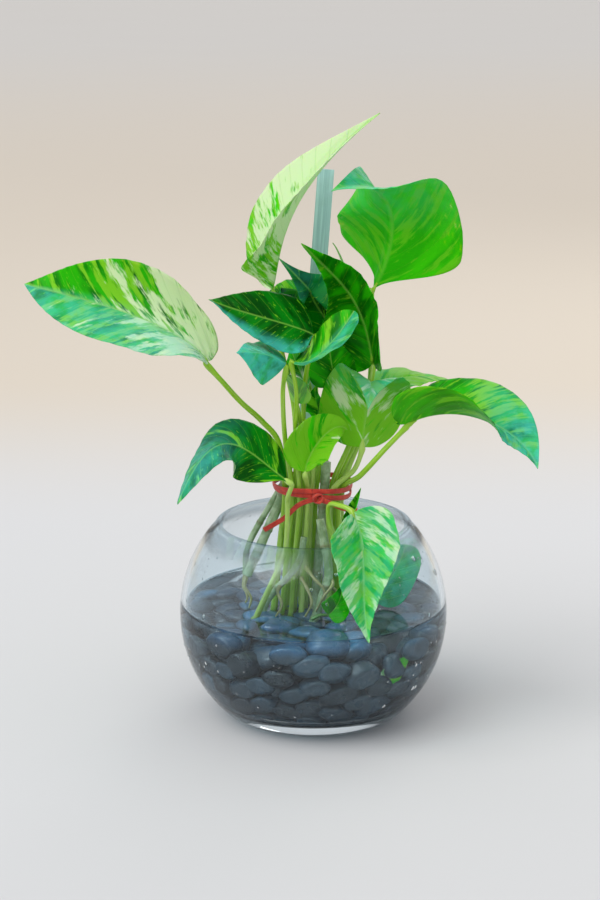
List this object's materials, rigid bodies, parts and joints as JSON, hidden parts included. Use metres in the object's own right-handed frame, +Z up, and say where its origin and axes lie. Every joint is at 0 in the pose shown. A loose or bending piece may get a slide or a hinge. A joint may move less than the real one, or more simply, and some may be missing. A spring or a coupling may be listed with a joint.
{
  "type": "pothos in glass bowl",
  "caption": "Variegated pothos cuttings tied in a bunch, standing in a round glass bowl of water and dark river pebbles.",
  "frame": {"origin": "centre of the flat round foot of the glass bowl, on the surface it stands on", "axes": "+Z up the bowl's own axis; +X to the right and -Y towards the viewer when the big arching leaf hangs to the right"},
  "size_m": [0.238, 0.1384, 0.2896],
  "materials": {
    "bowl_glass": "clear polished soda glass, faint green in the thick base and lip",
    "river_pebble": "wet blue-black river pebbles with a soft polish",
    "water": "clear still water",
    "leaf_blade": "waxy green leaf with cream and lime marbling, satin",
    "leaf_stalk": "fleshy yellow-green leaf stalk, satin",
    "vine_stem": "pale grey-green vine stem with nodes, slightly rough",
    "water_root": "smooth green water root",
    "support_slat": "flat blue-grey support slat, matt with fine grain",
    "red_ribbon": "red woven ribbon tie"
  },
  "bodies": {
    "root": {"glass_bowl": "bowl_glass", "pebble_bed": "river_pebble", "water": "water", "petiole_far_left": "leaf_stalk", "petiole_tall": "leaf_stalk", "petiole_top_right": "leaf_stalk", "petiole_dark_high": "leaf_stalk", "petiole_dark_back": "leaf_stalk", "petiole_cupped": "leaf_stalk", "petiole_front_teal": "leaf_stalk", "petiole_raised": "leaf_stalk", "petiole_upright_small": "leaf_stalk", "petiole_broad": "leaf_stalk", "petiole_right_arch": "leaf_stalk", "petiole_right_back": "leaf_stalk", "petiole_left_drooping": "leaf_stalk", "petiole_pale_middle": "leaf_stalk", "petiole_pale_hanging": "leaf_stalk", "petiole_left_of_broad": "leaf_stalk", "petiole_behind_broad": "leaf_stalk", "petiole_inner_strip": "leaf_stalk", "petiole_back_left": "leaf_stalk", "petiole_front_hanging": "leaf_stalk", "stem_left": "vine_stem", "stem_left_thin": "vine_stem", "stem_front": "vine_stem", "stem_centre": "vine_stem", "stem_side": "vine_stem", "root_green": "water_root", "shoot_tip": "leaf_stalk", "support_slat": "support_slat", "red_tie": "red_ribbon", "leaf_far_left": "leaf_blade", "leaf_tall": "leaf_blade", "leaf_top_right": "leaf_blade", "leaf_dark_high": "leaf_blade", "leaf_dark_back": "leaf_blade", "leaf_cupped": "leaf_blade", "leaf_front_teal": "leaf_blade", "leaf_raised": "leaf_blade", "leaf_upright_small": "leaf_blade", "leaf_broad": "leaf_blade", "leaf_right_arch": "leaf_blade", "leaf_right_back": "leaf_blade", "leaf_left_drooping": "leaf_blade", "leaf_pale_middle": "leaf_blade", "leaf_pale_hanging": "leaf_blade", "leaf_left_of_broad": "leaf_blade", "leaf_behind_broad": "leaf_blade", "leaf_inner_strip": "leaf_blade", "leaf_back_left": "leaf_blade", "leaf_front_hanging": "leaf_blade", "leaf_rolled": "leaf_blade", "leaf_inside_right": "leaf_blade", "leaf_low_centre": "leaf_blade", "leaf_fragment": "leaf_blade"}
  },
  "joints": []
}
